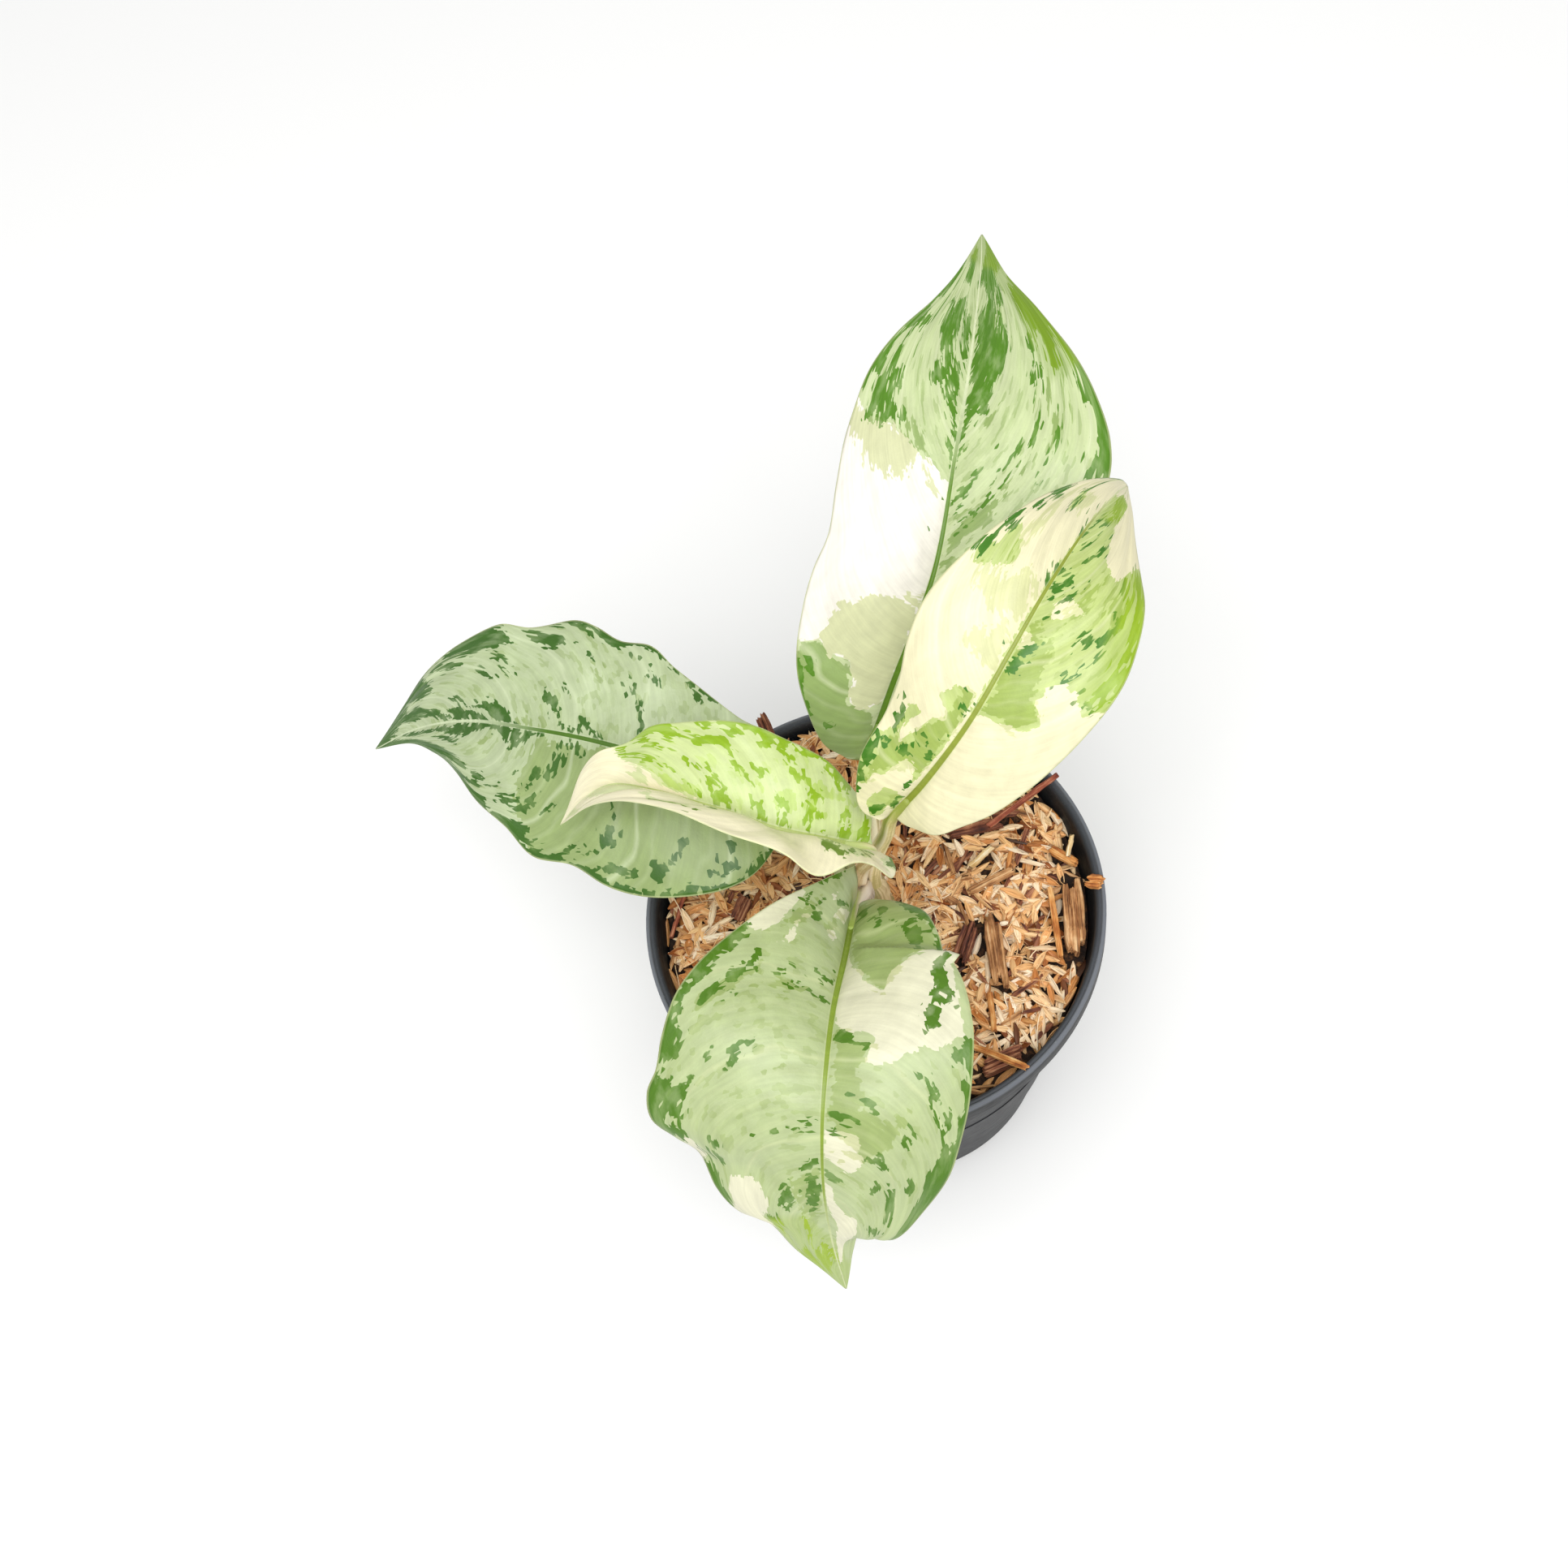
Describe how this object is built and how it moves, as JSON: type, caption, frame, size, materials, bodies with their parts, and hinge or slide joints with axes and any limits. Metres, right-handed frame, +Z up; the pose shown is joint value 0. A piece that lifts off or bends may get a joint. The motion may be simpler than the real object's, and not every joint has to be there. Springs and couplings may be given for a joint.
{
  "type": "potted chinese evergreen",
  "caption": "Variegated Chinese evergreen with broad arching leaves on a short cane, growing in a tapered nursery pot filled with rice husks and wood chips.",
  "frame": {"origin": "middle of the pot's base, on the surface that the pot stands on", "axes": "+Z up along the pot's axis; the broad leaf that arches over the rim hangs towards -Y and the largest leaf reaches towards +Y"},
  "size_m": [0.2182, 0.253, 0.2386],
  "materials": {
    "pot": "satin",
    "husks": "matte",
    "wood": "matte",
    "bark": "matte",
    "reed": "satin",
    "cane": "satin",
    "leaf_green": "satin",
    "leaf_cream": "satin"
  },
  "bodies": {
    "root": {"pot": "pot", "husk_bed": "husks", "cane": "cane", "slab_right": "wood", "slab_middle": "wood", "strip_right": "wood", "plank_bark": "bark", "plank_grey": "wood", "plank_brown": "wood", "block_rim": "wood", "bark_strip": "bark", "bark_chunk": "bark", "bark_chip_left": "bark", "bark_chip_far": "bark", "reed_middle": "reed", "reed_right": "reed", "stick_over_rim": "bark", "stick_orange": "wood", "stick_long": "wood", "stick_left": "bark", "leaf_a_low_left": "leaf_green", "leaf_e_front": "leaf_green", "leaf_c_back": "leaf_green", "leaf_b_high_left": "leaf_cream", "leaf_d_high_right": "leaf_cream"}
  },
  "joints": []
}
